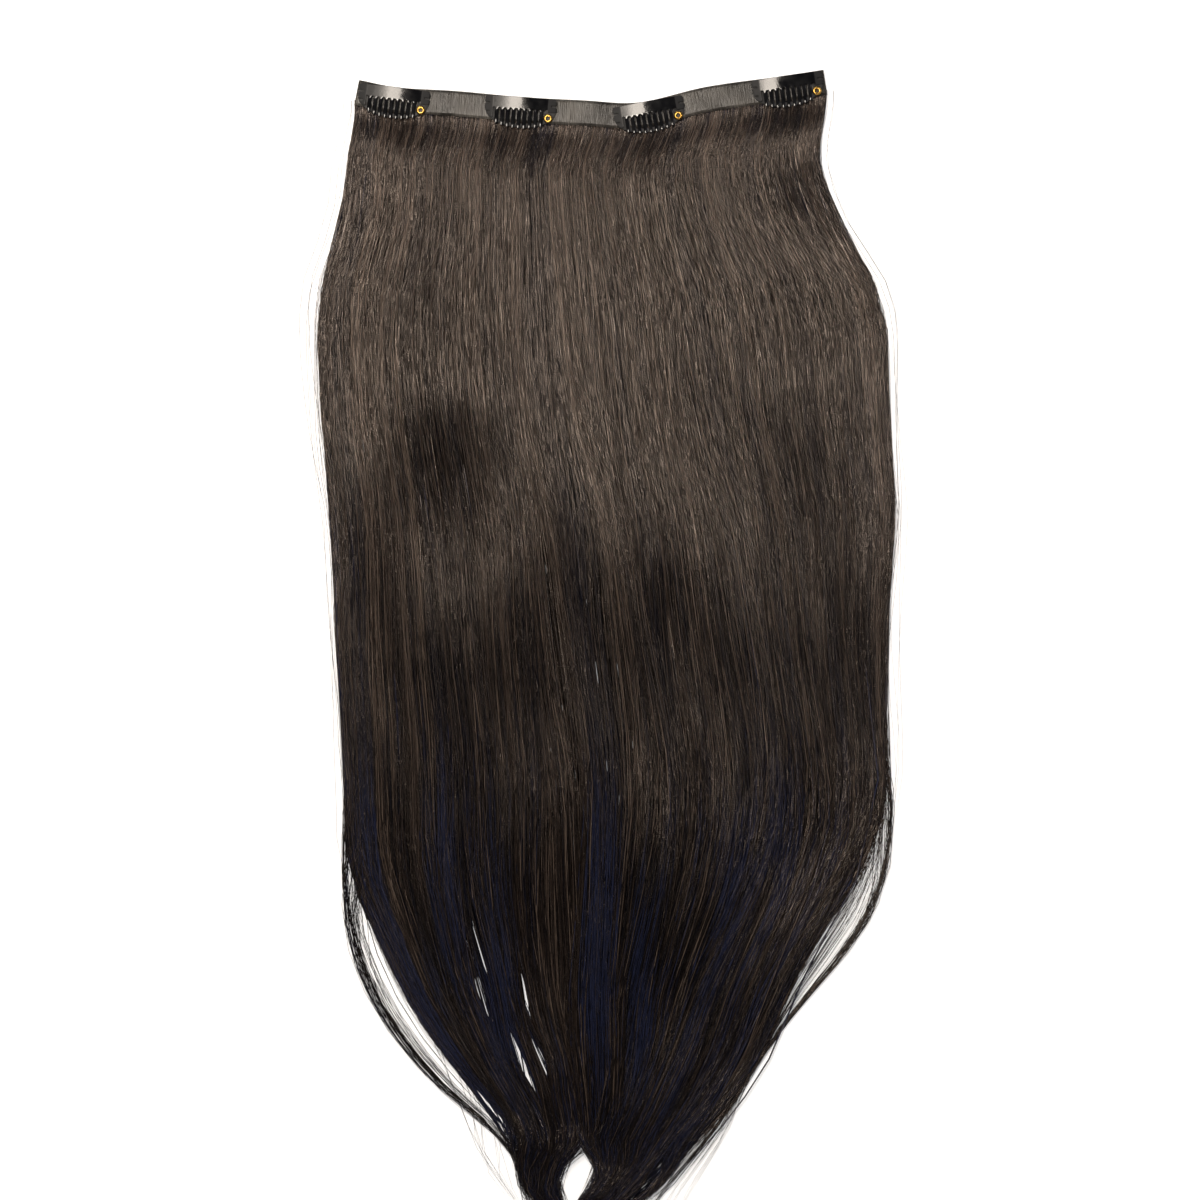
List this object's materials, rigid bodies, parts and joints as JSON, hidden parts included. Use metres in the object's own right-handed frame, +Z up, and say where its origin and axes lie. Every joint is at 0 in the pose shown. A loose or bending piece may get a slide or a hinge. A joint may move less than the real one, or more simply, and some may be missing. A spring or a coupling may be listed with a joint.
{
  "type": "clip-in hair extension weft",
  "caption": "Wide weft of long straight dark hair on a thin folded skin band, with snap combs along the band that clip it to the wearer's hair; it lies flat with the combs up.",
  "frame": {"origin": "middle of the band's underside, on the plane the weft lies on", "axes": "+X along the band to the right as seen from above, +Y from the hair's tips to the band, +Z up out of the combs"},
  "size_m": [0.2601, 0.5167, 0.011],
  "materials": {
    "skin": "thin translucent skin, smooth and glossy, over dark hair roots",
    "hair": "near-black brown straight hair with a soft sheen",
    "black_steel": "glossy black enamel",
    "brass": "bright brass"
  },
  "bodies": {
    "weft": {"band": "skin", "hair": "hair", "clip_1_frame": "black_steel", "clip_1_eyelet": "brass", "clip_2_frame": "black_steel", "clip_2_eyelet": "brass", "clip_3_frame": "black_steel", "clip_3_eyelet": "brass", "clip_4_frame": "black_steel", "clip_4_eyelet": "brass"},
    "comb_1": {"clip_1_comb": "black_steel"},
    "comb_2": {"clip_2_comb": "black_steel"},
    "comb_3": {"clip_3_comb": "black_steel"},
    "comb_4": {"clip_4_comb": "black_steel"}
  },
  "joints": [
    {"name": "clip_1_open", "type": "hinge", "parent": "weft", "child": "comb_1", "pos_m": [-0.08598, 0.01087, 0.00345], "axis": [-0.9914, 0.1312, 0], "range_deg": [0, 40]},
    {"name": "clip_2_open", "type": "hinge", "parent": "weft", "child": "comb_2", "pos_m": [-0.03057, 0.00654, 0.00345], "axis": [-0.9972, 0.0743, 0], "range_deg": [0, 40]},
    {"name": "clip_3_open", "type": "hinge", "parent": "weft", "child": "comb_3", "pos_m": [0.02494, 0.00474, 0.00345], "axis": [-0.9894, -0.1455, 0], "range_deg": [0, 40]},
    {"name": "clip_4_open", "type": "hinge", "parent": "weft", "child": "comb_4", "pos_m": [0.08581, 0.01594, 0.00345], "axis": [-0.9895, -0.1445, 0], "range_deg": [0, 40]}
  ]
}
